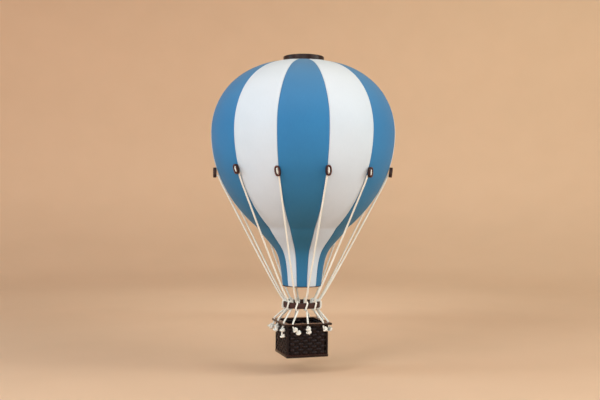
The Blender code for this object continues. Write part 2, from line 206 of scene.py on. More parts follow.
# Where a cord's straight run ends, outwards and above the start of its wrap
ARRIVAL = (0.0022, 0.0003)

# Basket
RIM_HALF = 0.0398
RIM_OPENING = 0.0308
RIM_TOP = -0.4303
RIM_THICK = 0.003
RIM_ROUND = 0.00035
HOLE_OUT = 0.037
# Place of each cord's hole along its side of the rim, as drilled by hand
HOLE_SHIFTS = (0.0, 0.025, -0.025, 0.0, 0.025, -0.033, -0.01, 0.0224, -0.026, -0.001, 0.025, -0.025)
HOLE_RADIUS = 0.0021
# Length of cord in line with its last run above a hole, and how far it dips in before it turns
HOLE_LEAD = 0.0016
HOLE_DIP = 0.0009
CORNER_RADIUS = 0.003
INNER_CORNER = 0.0008
BASKET_HALF = 0.0346
BASKET_WALL = 0.0035
BASKET_BOTTOM = -0.4848
FOOT_TALL = 0.0045
FOOT_HALF = 0.0352
FOOT_ROUND = 0.0007
# How far the foot's border reaches in past the walls, and the floor lies above its lower edge
FOOT_STEP = 0.0005
FLOOR_THICK = 0.003
FLOOR_SPARE = 0.0002
FLOOR_STRIPS = 8
FLOOR_POINTS = 81
FLOOR_SIDES = 12
# Width and thickness of a floor reed, as shares of the strips' spacing and of the floor
FLOOR_REED = (0.92, 0.42)
STAKES = 8
WEAVE_ROWS = 10
WEAVER_THICK = 0.0017
WEAVER_STEP = 0.0009
# Height of a weaver as a share of the rows' spacing, and how far its path strays up and down
WEAVER_TALL = (1.12, 1.20)
WEAVER_STRAY = 0.00016
REED_SIDES = 14
STAKE_POINTS = 40
STAKE_THICK = 0.0015
STAKE_WIDE = 0.0036
POST_RADIUS = 0.0019

# Studio
FLOOR_HEIGHT = -0.5148
SWEEP = ((0.0, 0.0), (0.6, 0.0), (1.15, 0.005), (1.6, 0.06), (1.95, 0.25), (2.2, 0.65), (2.32, 1.1),
         (2.38, 1.6))
SWEEP_STEP = 0.03
SWEEP_SEGMENTS = 96

# Lights on the object: azimuth from the camera and elevation in degrees, distance, size, power, colour
LIGHT_AIM = -0.2
LIGHTS = {
    "softbox_left": (-37, 30, 2.0, 0.8, 15.4, (0.89, 0.96, 1.0)),
    "softbox_right": (55, 30, 2.0, 0.8, 10.2, (0.91, 1.0, 0.99)),
    "softbox_above": (5, 38, 2.2, 1.2, 5.3, (0.87, 1.0, 0.96)),
    "softbox_behind": (180, 60, 2.2, 0.8, 2.9, (1.0, 0.95, 0.60)),
    "fill_front": (0, 16, 2.2, 1.6, 12.8, (0.85, 0.95, 1.0)),
    "fill_low": (0, 4, 2.0, 0.7, 11.3, (0.80, 0.91, 1.0)),
    "fill_left": (-80, 28, 2.0, 0.8, 4.7, (0.60, 0.89, 1.0)),
    "fill_right": (80, 28, 2.0, 0.8, 9.1, (0.89, 1.0, 0.93)),
    "fill_left_low": (-80, 8, 2.0, 0.7, 11.5, (0.63, 0.86, 1.0)),
    "fill_right_low": (80, 8, 2.0, 0.7, 10.2, (0.79, 0.96, 1.0)),
}
# Lights on the backdrop: azimuth from the camera in degrees, distance from the axis, size, height,
# tilt up, power, colour
BACKDROP_LIGHTS = {
    "backdrop_middle": (180, 0.6, 0.8, 0.1, 0.10, 2.6, (0.74, 0.94, 1.0)),
    "backdrop_high": (145, 1.0, 0.8, 1.0, -0.15, 3.5, (0.70, 1.0, 0.81)),
    "backdrop_foot": (180, 0.45, 0.6, 0.1, -0.5, 1.5, (0.97, 1.0, 0.95)),
}


# Directions, paths and the envelope's outline

def round_angles(count):
    """Angles evenly spaced over a full turn."""
    return np.linspace(0.0, 2 * math.pi, count, endpoint=False)


def swollen(values, power):
    """Values from -1 to 1 moved towards their ends, with their signs kept."""
    return np.sign(values) * np.abs(values) ** power


def unit_rows(ways):
    """The vectors at unit length."""
    return ways / np.linalg.norm(ways, axis=1, keepdims=True)


def rising(height):
    """Vector straight up, or down for a negative height."""
    return Vector((0.0, 0.0, height))


def side_ways(angle):
    """Unit vectors outwards from the axis at an angle, and along from there, anticlockwise."""
    return Vector((math.cos(angle), math.sin(angle), 0.0)), Vector((-math.sin(angle), math.cos(angle), 0.0))


def eye_way(turn=0.0):
    """Level unit vector from the axis towards the camera, or turned from there by an angle."""
    return Vector((math.sin(EYE_AZIMUTH + turn), -math.cos(EYE_AZIMUTH + turn), 0.0))


def bezier(start, first, second, end, steps):
    """Points of a cubic curve, without its start."""
    points = []
    for step in range(1, steps + 1):
        t = step / steps
        weights = ((1 - t) ** 3, 3 * t * (1 - t) ** 2, 3 * t * t * (1 - t), t ** 3)
        corners = (start, first, second, end)
        points.append(tuple(sum(w * c[axis] for w, c in zip(weights, corners)) for axis in (0, 1)))
    return points


def moved(point, way, reach):
    """A point (radius, height) moved along an angle, which is 0 outwards and grows upwards."""
    return point[0] + reach * math.cos(way), point[1] + reach * math.sin(way)


def envelope_outline(steps):
    """Outer face of the cloth from the crown to the mouth, as (radius, height)."""
    down = -math.pi / 2
    above, below = (moved(THROAT, down - THROAT_SLOPE, reach) for reach in THROAT_HANDLES)
    shoulder = moved(EQUATOR, down, -SHOULDER_HANDLE)
    curves = ((CROWN, moved(CROWN, -CROWN_SLOPE, CROWN_HANDLE), shoulder, EQUATOR),
              (EQUATOR, moved(EQUATOR, down, FLANK_HANDLE), above, THROAT),
              (THROAT, below, moved(MOUTH, down - MOUTH_SLOPE, -MOUTH_HANDLE), MOUTH))
    return [CROWN] + [point for curve in curves for point in bezier(*curve, steps)]


def offset_outline(points, depth):
    """The outline moved inwards by a depth, or outwards by a negative one."""
    offset = []
    for (radius, height), before, after in zip(points, points[:1] + points, points[1:] + points[-1:]):
        way = Vector((after[0] - before[0], after[1] - before[1])).normalized()
        offset.append((radius + way.y * depth, height - way.x * depth))
    return offset


def outline_radius(points, height):
    """Radius of a falling outline at a height."""
    for upper, lower in zip(points, points[1:]):
        if upper[1] >= height >= lower[1]:
            share = (upper[1] - height) / (upper[1] - lower[1])
            return upper[0] + share * (lower[0] - upper[0])
    return points[-1][0]


def seam_angle(seam):
    """Angle of a seam. The one after the last is the first again, a full turn on."""
    turns, place = divmod(seam, GORES)
    return math.radians(SEAMS[place]) + 2 * math.pi * turns


def lengths(points):
    """Distance along a line of points, from its first."""
    steps = np.linalg.norm(np.diff(points, axis=0), axis=1)
    return np.concatenate([[0.0], np.cumsum(steps)])


def spaced(points, count):
    """The line again, with that many points evenly apart."""
    points = np.asarray(points, float)
    along = lengths(points)
    at = np.linspace(0.0, along[-1], count)
    return np.stack([np.interp(at, along, points[:, axis]) for axis in range(points.shape[1])], axis=1)


def smooth_line(points, step):
    """A smooth curve through the points, as points a step apart."""
    points = np.asarray(points, float)
    ends = [2 * points[0] - points[1], *points, 2 * points[-1] - points[-2]]
    fine = [points[0]]
    for p0, p1, p2, p3 in zip(ends, ends[1:], ends[2:], ends[3:]):
        knots = [0.0]
        for a, b in ((p0, p1), (p1, p2), (p2, p3)):
            knots.append(knots[-1] + math.sqrt(max(np.linalg.norm(b - a), 1e-9)))
        count = max(2, math.ceil(np.linalg.norm(p2 - p1) / step * 1.5))
        for t in np.linspace(knots[1], knots[2], count + 1)[1:]:
            line = [p0, p1, p2, p3]
            for starts, ends_at in ((knots[:3], knots[1:]), (knots[:2], knots[2:]), (knots[1:2], knots[2:3])):
                line = [a + (b - a) * (t - start) / (end - start)
                        for a, b, start, end in zip(line, line[1:], starts, ends_at)]
            fine.append(line[0])
    fine = np.array(fine)
    return spaced(fine, max(2, round(lengths(fine)[-1] / step)))


def ring_ways(points, angles):
    """Unit vectors square to a line at angles about it, turning along it as little as they can."""
    ways = unit_rows(np.gradient(points, axis=0))
    start = np.array((0.0, 0.0, 1.0)) if abs(ways[0][2]) < 0.8 else np.array((1.0, 0.0, 0.0))
    across = np.zeros_like(points)
    for index, way in enumerate(ways):
        start = start - way * (start @ way)
        start /= np.linalg.norm(start)
        across[index] = start
    up = np.cross(ways, across)
    return across[:, None] * np.cos(angles)[..., None] + up[:, None] * np.sin(angles)[..., None]


def outward_ways(line):
    """Level vectors out of a closed anticlockwise line, square to it at each of its points."""
    ways = unit_rows(np.roll(line, -1, axis=0) - np.roll(line, 1, axis=0))
    return np.stack([ways[:, 1], -ways[:, 0]], axis=1)


# Meshes

def add_object(name, data):
    """A new object in the scene."""
    made = bpy.data.objects.new(name, data)
    bpy.context.scene.collection.objects.link(made)
    return made


def make_piece(mesh, finish, slot, *nodes, sharp=None):
    """Put a mesh and its finish in the scene as a piece that rides on the part.

    Edges that bend by more than a given angle stay sharp.
    """
    mesh.materials.append(bpy.data.materials[finish])
    mesh.shade_smooth()
    if sharp:
        mesh.set_sharp_from_angle(angle=math.radians(sharp))
    piece = add_object(mesh.name, mesh)
    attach(piece, "root")
    if nodes:
        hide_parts(*nodes)
    return piece


def grid_mesh(name, parts, around=False, along=False, caps=False):
    """One mesh with its faces outwards, from grids that are closed around or along if asked.

    Each part is a grid of points (rows, columns, 3) and its metres across and along, or None.
    """
    verts = []
    faces = []
    corners = []
    first = 0
    for grid, lay in parts:
        rows, columns = grid.shape[:2]
        row, column = np.meshgrid(np.arange(rows if along else rows - 1),
                                  np.arange(columns if around else columns - 1), indexing="ij")
        places = [(row, column), (row, column + 1), (row + 1, column + 1), (row + 1, column)]
        quads = np.stack([first + (r % rows) * columns + c % columns for r, c in places], axis=-1)
        faces += quads.reshape(-1, 4).tolist()
        if lay is not None:
            corners.append(np.stack([lay[r, c] for r, c in places], axis=-2).reshape(-1, 2))
        if caps:
            faces.append(list(range(first, first + columns)))
            faces.append(list(range(first + (rows - 1) * columns, first + rows * columns)))
            if lay is not None:
                corners.append(np.zeros((2 * columns, 2)))
        verts.append(grid.reshape(-1, 3))
        first += rows * columns
    mesh = bpy.data.meshes.new(name)
    mesh.from_pydata(np.concatenate(verts).tolist(), [], faces)
    if corners:
        layer = mesh.uv_layers.new(name="lay")
        layer.data.foreach_set("uv", np.concatenate(corners).astype(np.float32).ravel())
    bm = bmesh.new()
    bm.from_mesh(mesh)
    bmesh.ops.recalc_face_normals(bm, faces=bm.faces)
    bm.to_mesh(mesh)
    bm.free()
    return mesh


def tube_lay(angles, radius, along):
    """Metres around and along a closed tube's grid, with its first column again at the end."""
    around = np.append(angles, 2 * math.pi) * radius
    return np.stack(np.broadcast_arrays(around[None], along[:, None]), axis=-1)


def rounded_profile(corners, radii, steps=5):
    """Closed outline with its corners rounded, as points."""
    points = []
    corners = [Vector(corner) for corner in corners]
    for index, (corner, radius) in enumerate(zip(corners, radii)):
        if radius <= 0.0:
            points.append(tuple(corner))
            continue
        before = (corners[index - 1] - corner).normalized()
        after = (corners[index + 1 - len(corners)] - corner).normalized()
        half = before.angle(after) / 2
        centre = corner + (before + after).normalized() * (radius / math.sin(half))
        start, end = [(corner + way * (radius / math.tan(half)) - centre).normalized()
                      for way in (before, after)]
        points += [tuple(centre + start.slerp(end, step / steps) * radius) for step in range(steps + 1)]
    return points


def make_turned(name, node, corners, radii, finish, slot, sharp=None, steps=5, segments=120):
    """A turned piece, from the corners of its section as (radius, height) and their rounding."""
    angles = round_angles(segments)
    profile = np.array(rounded_profile(corners, radii, steps))
    grid = np.stack([np.outer(np.cos(angles), profile[:, 0]), np.outer(np.sin(angles), profile[:, 0]),
                     np.tile(profile[:, 1], (segments, 1))], axis=-1)
    make_piece(grid_mesh(name, [(grid, None)], around=True, along=True), finish, slot, node, sharp=sharp)


# Materials

class Paint:
    """A material with a Principled shader and short ways to add nodes to it."""

    def __init__(self, name, **constants):
        self.material = bpy.data.materials.new(name)
        self.material.use_nodes = True
        self.tree = self.material.node_tree
        self.shader = self.tree.nodes["Principled BSDF"]
        for socket, value in constants.items():
            self.shader.inputs[socket.replace("_", " ")].default_value = value

    def node(self, kind, **inputs):
        """A node whose inputs are numbers or other nodes' outputs."""
        settings = inputs.pop("settings", {})
        made = self.tree.nodes.new(kind)
        for key, value in settings.items():
            setattr(made, key, value)
        for key, value in inputs.items():
            numbered = key[0] == "i" and key[1:].isdigit()
            self.feed(made.inputs[int(key[1:]) if numbered else key.replace("_", " ")], value)
        return made

    def feed(self, socket, value):
        """Give a socket a number, a colour or another node's output."""
        if isinstance(value, bpy.types.NodeSocket):
            self.tree.links.new(value, socket)
        else:
            socket.default_value = value

    def math(self, operation, first, second=0.0, clamp=False):
        settings = {"operation": operation, "use_clamp": clamp}
        return self.node("ShaderNodeMath", settings=settings, i0=first, i1=second).outputs[0]

    def vector_math(self, operation, first, second=(0.0, 0.0, 0.0)):
        settings = {"operation": operation}
        return self.node("ShaderNodeVectorMath", settings=settings, i0=first, i1=second).outputs

    def average(self, first, share, second):
        """A share of the first number and the rest of the second."""
        return self.math("ADD", self.math("MULTIPLY", first, share), self.math("MULTIPLY", second, 1 - share))

    def rise(self, value, start, end):
        """0 where a value is at its start or below, and 1 where it is at its end or above."""
        return self.node("ShaderNodeMapRange", Value=value, From_Min=start, From_Max=end).outputs[0]

    def coordinates(self, scale=(1.0, 1.0, 1.0)):
        place = self.node("ShaderNodeTexCoord").outputs["Object"]
        return self.node("ShaderNodeMapping", Vector=place, Scale=scale).outputs[0]

    def lay(self, scale=(1.0, 1.0, 1.0)):
        """The mesh's own metres across and along."""
        place = self.node("ShaderNodeUVMap", settings={"uv_map": "lay"}).outputs[0]
        return self.node("ShaderNodeMapping", Vector=place, Scale=scale).outputs[0]

    def noise(self, place, scale, detail=2.0, roughness=0.5):
        made = self.node("ShaderNodeTexNoise", Vector=place, Scale=scale, Detail=detail, Roughness=roughness)
        return made.outputs[0]

    def threads(self, place, pitch, direction):
        """Ridges across a direction, one each pitch."""
        made = self.node("ShaderNodeTexWave", settings={"bands_direction": direction}, Vector=place,
                         Scale=math.pi / 10 / pitch)
        return made.outputs[1]

    def ramp(self, share, *stops):
        """Colours at shares from 0 to 1."""
        made = self.node("ShaderNodeValToRGB", Fac=share)
        ramp = made.color_ramp
        while len(ramp.elements) < len(stops):
            ramp.elements.new(0.5)
        for element, (place, colour) in zip(ramp.elements, stops):
            element.position = place
            element.color = (*colour, 1.0)
        return made.outputs[0]

    def blend(self, share, first, second, kind="MIX"):
        made = self.node("ShaderNodeMix", settings={"data_type": "RGBA", "blend_type": kind}, i0=share)
        for socket, value in ((made.inputs[6], first), (made.inputs[7], second)):
            self.feed(socket, value if isinstance(value, bpy.types.NodeSocket) else (*value, 1.0))
        return made.outputs[2]

    def edges(self, radius):
        """1 on the sharp edges of a solid and 0 on its faces."""
        rounded = self.node("ShaderNodeBevel", settings={"samples": 4}, Radius=radius).outputs[0]
        plain = self.node("ShaderNodeNewGeometry").outputs["Normal"]
        turned = self.math("SUBTRACT", 1.0, self.vector_math("DOT_PRODUCT", rounded, plain)["Value"])
        return self.math("MULTIPLY", turned, 9.0, clamp=True)

    def facing(self, way):
        """1 where a face looks out from the axis, or up, and 0 where it looks aside."""
        normal = self.node("ShaderNodeNewGeometry").outputs["Normal"]
        aim = self.node("ShaderNodeCombineXYZ", Z=1.0).outputs[0]
        if way == "out":
            aim = self.vector_math("NORMALIZE", self.coordinates((1.0, 1.0, 0.0)))[0]
        return self.rise(self.vector_math("DOT_PRODUCT", normal, aim)["Value"], 0.55, 0.95)

    def spread(self, share, low, high):
        """A share from 0 to 1 as a number from low to high."""
        return self.node("ShaderNodeMapRange", Value=share, To_Min=low, To_Max=high).outputs[0]

    def finish(self, colour, roughness, height=None, distance=0.0, strength=0.5):
        """The material, with its bumps if a height is given."""
        self.feed(self.shader.inputs["Base Color"], colour)
        self.feed(self.shader.inputs["Roughness"], roughness)
        if height is not None:
            bumps = self.node("ShaderNodeBump", Height=height, Distance=distance, Strength=strength)
            self.feed(self.shader.inputs["Normal"], bumps.outputs[0])
        return self.material


def cloth(name, light, dark, sheen_colour, shade_tint):
    """Plain woven cotton: threads both ways, slubs and slow changes of tone.

    It is painted paler towards the crown as a painted sheen of the light from above, and darker round the
    lower flank and neck as painted shade.
    """
    paint = Paint(name, Specular_IOR_Level=0.22, Sheen_Weight=0.06, Sheen_Roughness=0.5)
    place = paint.lay()
    warp = paint.threads(place, 0.45 * MM, "X")
    weft = paint.threads(place, 0.5 * MM, "Y")
    weave = paint.math("MULTIPLY", paint.math("ADD", warp, weft), 0.5)
    slub = paint.noise(paint.lay((1.0, 0.12, 1.0)), 900.0, 3.0, 0.6)
    slow = paint.noise(paint.coordinates(), 22.0, 3.0)
    tone = paint.average(paint.average(slub, 0.45, slow), 0.8, weave)
    height = paint.node("ShaderNodeSeparateXYZ", Vector=paint.coordinates()).outputs["Z"]
    # Paler towards the crown: a painted sheen of the light from above
    sheen_share = paint.math("MULTIPLY", paint.math("POWER", paint.rise(height, *SHEEN_HEIGHTS), 1.3), 0.62)
    colour = paint.blend(sheen_share, paint.ramp(tone, (0.3, dark), (0.7, light)), sheen_colour)
    # Darker round the lower flank and neck, most near the throat where the cloth turns down: painted shade
    half_shade_tint = tuple(0.5 + value / 2 for value in shade_tint)
    painted_shade = paint.ramp(paint.rise(height, *SHADE_HEIGHTS), (0.0, half_shade_tint), (0.36, shade_tint),
                      (0.68, half_shade_tint), (1.0, (1.0, 1.0, 1.0)))
    paint.finish(paint.blend(1.0, colour, painted_shade, "MULTIPLY"), paint.spread(slow, 0.6, 0.74),
                 paint.math("ADD", weave, paint.math("MULTIPLY", slub, 0.6)), 0.06 * MM)


def cotton_cord(name):
    """Natural cotton: fine yarns round each strand, darker where fluff holds dust."""
    paint = Paint(name, Specular_IOR_Level=0.2, Sheen_Weight=0.15, Sheen_Roughness=0.6)
    yarn = paint.threads(paint.lay((1.0, 0.55, 1.0)), 0.32 * MM, "DIAGONAL")
    fluff = paint.noise(paint.lay((1.0, 0.35, 1.0)), 1800.0, 3.0, 0.65)
    tone = paint.average(fluff, 0.6, paint.noise(paint.coordinates(), 60.0, 2.0))
    colour = paint.ramp(tone, (0.25, (0.65, 0.61, 0.52)), (0.5, (0.76, 0.73, 0.66)),
                        (0.8, (0.82, 0.80, 0.74)))
    paint.finish(colour, paint.spread(fluff, 0.8, 0.98), paint.math("ADD", yarn, fluff),
                 0.09 * MM, 0.7)


def brown_finish(name, dark, wear_and_highlight, grain_scale, low, high, shine, lit_facing=None):
    """Stained brown material with a streaky grain, worn reddish on its edges, or painted lighter and redder
    as a painted highlight on the faces that look a given way.
    """
    paint = Paint(name, Specular_IOR_Level=shine, Specular_Tint=(1.0, 0.88, 0.84, 1.0))
    grain = paint.noise(paint.coordinates(grain_scale), 1.0, 4.0, 0.6)
    blotch = paint.noise(paint.coordinates(), 160.0, 2.0)
    body = paint.ramp(grain, (0.3, tuple(0.72 * value for value in dark)), (0.62, dark),
                      (0.85, tuple(d + 0.35 * (w - d) for d, w in zip(dark, wear_and_highlight))))
    # Real wear on the edges, or a painted highlight on the faces that look out or up
    place = paint.facing(lit_facing) if lit_facing else paint.edges(0.0005)
    share = paint.math("MULTIPLY", place, paint.spread(blotch, 0.3, 1.3), clamp=True)
    paint.finish(paint.blend(share, body, wear_and_highlight), paint.spread(grain, low, high), grain, 0.12 * MM)


def wicker(name):
    """Stained and lacquered reed: fibres along each strand, broken gloss, rubbed high spots."""
    paint = Paint(name, Specular_IOR_Level=0.26, Specular_Tint=(1.0, 0.80, 0.84, 1.0))
    fibre = paint.noise(paint.lay((1.0, 0.05, 1.0)), 2600.0, 3.0, 0.6)
    blotch = paint.noise(paint.coordinates(), 240.0, 3.0)
    colour = paint.ramp(paint.average(fibre, 0.55, blotch), (0.3, (0.0022, 0.0013, 0.0013)),
                        (0.55, (0.0045, 0.0027, 0.0026)), (0.8, (0.012, 0.0068, 0.0062)))
    paint.finish(colour, paint.spread(blotch, 0.30, 0.44), fibre, 0.05 * MM)


def foam(name):
    paint = Paint(name, Specular_IOR_Level=0.2)
    cells = paint.node("ShaderNodeTexVoronoi", Vector=paint.coordinates(), Scale=520.0).outputs[0]
    tone = paint.noise(paint.coordinates(), 45.0, 3.0)
    colour = paint.ramp(tone, (0.3, (0.62, 0.60, 0.54)), (0.7, (0.76, 0.74, 0.68)))
    paint.finish(colour, paint.spread(tone, 0.85, 0.95), cells, 0.25 * MM, 0.6)


def brass(name):
    paint = Paint(name, Metallic=1.0)
    scratches = paint.noise(paint.coordinates((1.0, 1.0, 0.15)), 2500.0, 3.0)
    colour = paint.ramp(scratches, (0.3, (0.55, 0.39, 0.17)), (0.7, (0.78, 0.60, 0.30)))
    paint.finish(colour, paint.spread(scratches, 0.22, 0.42), scratches, 0.02 * MM, 0.3)


def make_materials():
    # Each cloth: its light and dark tones, the paler colour of its painted sheen by the crown, and the tint
    # of its painted shade round the lower flank and neck
    cloth("blue_cotton", (0.024, 0.166, 0.362), (0.019, 0.140, 0.314), (0.158, 0.274, 0.380),
          (0.86, 0.77, 0.64))
    cloth("white_cotton", (0.530, 0.590, 0.655), (0.485, 0.540, 0.602), (0.900, 0.805, 0.745),
          (0.97, 0.98, 1.0))
    cotton_cord("natural_cotton")
    foam("moulded_foam")
    brown_finish("crown_wood", (0.024, 0.011, 0.010), (0.10, 0.036, 0.030), (60, 60, 900), 0.26, 0.36, 0.155)
    # Eyelets: their outward faces painted lighter and redder as a painted highlight, their sides left darker
    # as painted shade
    brown_finish("eyelet_leather", (0.026, 0.012, 0.011), (0.135, 0.038, 0.026), (500, 500, 500),
                 0.34, 0.5, 0.22, "out")
    brown_finish("ring_leather", (0.050, 0.020, 0.016), (0.14, 0.050, 0.036), (900, 900, 90), 0.42, 0.6, 0.2)
    # Rim and foot border: their top faces painted lighter and redder as a painted reflection of the backdrop
    brown_finish("rim_wood", (0.010, 0.0045, 0.004), (0.100, 0.026, 0.017), (140, 900, 500),
                 0.2, 0.32, 0.3, "up")
    wicker("lacquered_reed")
    brass("eye_brass")


# Envelope

def seam_distance(width):
    """Places across a panel, as distances from its left edge: close together by both seams."""
    edge = [step for step in EDGE_STEPS if step < width / 2 - EDGE_SPARE]
    inner = np.linspace(EDGE_STEPS[-1], width - EDGE_STEPS[-1], GORE_COLUMNS + 2)[1:-1]
    return np.array(edge + list(inner) + [width - step for step in reversed(edge)])


def crease_depth(height, across, strays):
    """How far the cloth sinks in at the folds where the neck begins, and bulges below them."""
    share, place, width = CREASE_BULGE
    depth = 0.0
    for (level, size), (rise, slope, part) in zip(CREASES, strays):
        away = (height - level - rise - slope * across) / CREASE_WIDTH
        depth = depth + size * part * (np.exp(-away ** 2) - share * np.exp(-((away + place) / width) ** 2))
    return depth


def drawn_in(seam, radius, height):
    """How far a seam of the front panel is drawn towards that panel's middle from its plain angle."""
    if seam not in SEAMS_DRAWN:
        return 0.0
    share = min(1.0, max(0.0, (height - SEAM_DRAW_END) / (SEAM_DRAW_FULL - SEAM_DRAW_END)))
    return SEAM_DRAW * share ** 1.2 * min(1.0, radius / NARROW)


def gore_widths(index, line):
    """Width of a panel at each point of the outline."""
    span = seam_angle(index + 1) - seam_angle(index)
    side = 1 if index % 2 else -1
    return np.array([span * radius + side * sum(drawn_in(seam, radius, height) for seam in (index, index + 1))
                     for radius, height in line])


def gore_layers(index, line, widths, along, rng):
    """Outer and inner faces of one cloth panel, and its metres across and along."""
    start = seam_angle(index)
    side = 1 if index % 2 else -1
    strays = [(rng.uniform(-CREASE_STRAY, CREASE_STRAY) * (index != FRONT_GORE),
               rng.uniform(-CREASE_SLOPE, CREASE_SLOPE), rng.uniform(*CREASE_SHARE)) for _ in CREASES]
    waves = [[rng.uniform(*span) for span in WAVE_RANGES] for _ in range(WAVES)]
    outer = []
    inner = []
    lay = []
    ways = unit_rows(np.gradient(line, axis=0))
    for (radius, height), way, down, width in zip(line, ways, along, widths):
        places = seam_distance(width)
        across = places - width / 2
        near = np.minimum(places, width - places)
        dip = SEAM_DIP * (1 - np.clip(near / SEAM_EDGE, 0, 1)) ** 2
        puff = PUFF * np.cos(math.pi * across / width) * min(1.0, width / NARROW)
        uneven = sum(WAVE_HEIGHT * np.sin(phase + rate * down + turn * across / width)
                     for phase, rate, turn in waves)
        hem = max(0.0, 1 - (along[-1] - down) / HEM)
        rise = puff - dip + uneven * np.clip(near / WAVE_EDGE, 0, 1) - HEM_TURN * hem ** 2
        rise = rise - crease_depth(height, across, strays) * np.clip(near / CREASE_EDGE, 0, 1)
        first = GAP / 2 - side * drawn_in(index, radius, height)
        angles = start + (first + places * (width - GAP) / width) / radius
        for layer, depth in ((outer, 0.0), (inner, CLOTH)):
            reach = radius - way[1] * (rise - depth)
            level = height + way[0] * (rise - depth)
            layer.append(np.stack([reach * np.cos(angles), reach * np.sin(angles), level], axis=-1))
        lay.append(np.stack([across, np.full_like(across, down)], axis=-1))
    return np.array(outer), np.array(inner), np.array(lay)


def make_gores(line, rng):
    """Twelve stretched cloth panels, blue and white in turn."""
    arc = lengths(line)
    for index in range(GORES):
        widths = gore_widths(index, line)
        outer, inner, lay = gore_layers(index, line, widths, arc, rng)
        grid = np.concatenate([outer, inner[:, ::-1]], axis=1)
        uv = np.concatenate([lay, lay[:, ::-1], lay[:, :1]], axis=1)
        mesh = grid_mesh(f"cloth_gore_{index + 1:02d}", [(grid, uv)], around=True, caps=True)
        shade = "blue" if index % 2 == 0 else "white"
        piece = make_piece(mesh, f"{shade}_cotton", f"cloth_{shade}", f"gore_{index + 1:02d}", sharp=55)


def make_binding():
    """Flat ring that binds cloth and shell at the mouth."""
    top = MOUTH[1] - GAP
    low = top - BINDING_THICK
    corners = [(BINDING_OUTER, low), (BINDING_OUTER, top), (BINDING_BORE, top), (BINDING_BORE, low)]
    make_turned("mouth_binding_band", "mouth_binding", corners, [BINDING_ROUND] * 4, "ring_leather",
                "brown_leather", steps=3, segments=96)


def make_crown():
    """Ring on the crown, and the plate and the wire eye inside it."""
    bottom = CROWN[1] + CROWN_SEAT
    corners = [(CROWN_RING_OUTER, bottom - CROWN_SKIRT), (CROWN_RING_OUTER, CROWN_RING_TOP),
               (CROWN_RING_BORE, CROWN_RING_TOP), (CROWN_RING_BORE, bottom)]
    radii = (0.0, CROWN_ROUND, CROWN_ROUND * 0.7, 0.0)
    make_turned("crown_ring_body", "crown_ring", corners, radii, "crown_wood", "brown_wood", sharp=50)
    flange = CROWN_RING_BORE - GAP
    low = CROWN[1] + GAP
    corners = [(PLATE_CENTRE, PLATE_TOP), (flange, PLATE_TOP), (flange, low), (PLATE_BOSS_RADIUS, low),
               (PLATE_BOSS_RADIUS, PLATE_BOSS_BOTTOM), (PLATE_CENTRE, PLATE_BOSS_BOTTOM)]
    make_turned("crown_plate_body", "crown_plate", corners, PLATE_RADII, "crown_wood", "brown_wood",
                sharp=50, segments=96)
    bow = turned_arc((0.0, HANGER_WIRE - HANGER_RADIUS), HANGER_RADIUS, 180, -180, 15)
    feet = [(side * HANGER_RADIUS, PLATE_TOP + GAP) for side in (-1, 1)]
    line = smooth_line([(out, 0.0, level) for out, level in (feet[0], *bow, feet[1])], HANGER_STEP)
    wire = line[:, None] + HANGER_WIRE * ring_ways(line, round_angles(REED_SIDES)[None])
    mesh = grid_mesh("hanging_eye_wire", [(wire, None)], around=True, caps=True)
    make_piece(mesh, "eye_brass", "brass", "hanging_eye", sharp=50)


# Eyelets

def seam_matrix(seam, outline, settings):
    """Frame of an eyelet: X outwards from its back, Y along the seam's right, Z up."""
    rise, roll, lean, yaw = settings
    height = EYELET_HEIGHT + rise
    back = outline_radius(outline, height + EYELET_TALL / 2) + GAP
    turn = Matrix.Rotation(seam_angle(seam), 4, "Z")
    place = Matrix.Translation((back, 0.0, height))
    top = Matrix.Translation((0.0, 0.0, EYELET_TALL / 2))
    leaning = top @ Matrix.Rotation(math.radians(lean), 4, "Y") @ top.inverted()
    return (turn @ place @ leaning @ Matrix.Rotation(math.radians(yaw), 4, "Z")
            @ Matrix.Rotation(math.radians(roll), 4, "X"))


def oval_points(width, tall, count):
    """Upright oval and its outward directions, evenly spaced."""
    angles = np.append(round_angles(8 * count), 2 * math.pi)
    line = np.stack([width / 2 * swollen(np.cos(angles), EYELET_SWELL),
                     tall / 2 * swollen(np.sin(angles), EYELET_SWELL)], axis=1)
    places = spaced(line, count + 1)[:-1]
    return places, outward_ways(places)


def make_eyelet(seam, frame_of_seam):
    wall = EYELET_WALL / 2
    middle, outwards = oval_points(EYELET_WIDTH - EYELET_WALL, EYELET_TALL - EYELET_WALL, EYELET_POINTS)
    corners = [(-wall, 0.0), (wall, 0.0), (wall, EYELET_DEPTH), (-wall, EYELET_DEPTH)]
    section = rounded_profile(corners, EYELET_ROUNDS, 4)
    grid = np.zeros((len(middle), len(section), 3))
    for column, (aside, depth) in enumerate(section):
        spots = middle + outwards * aside
        grid[:, column] = np.stack([np.full(len(spots), depth), spots[:, 0], spots[:, 1]], axis=1)
    mesh = grid_mesh(f"eyelet_bead_{seam + 1:02d}", [(grid, None)], around=True, along=True)
    mesh.transform(frame_of_seam)
    make_piece(mesh, "eyelet_leather", "brown_leather", f"eyelet_{seam + 1:02d}")


# Cords

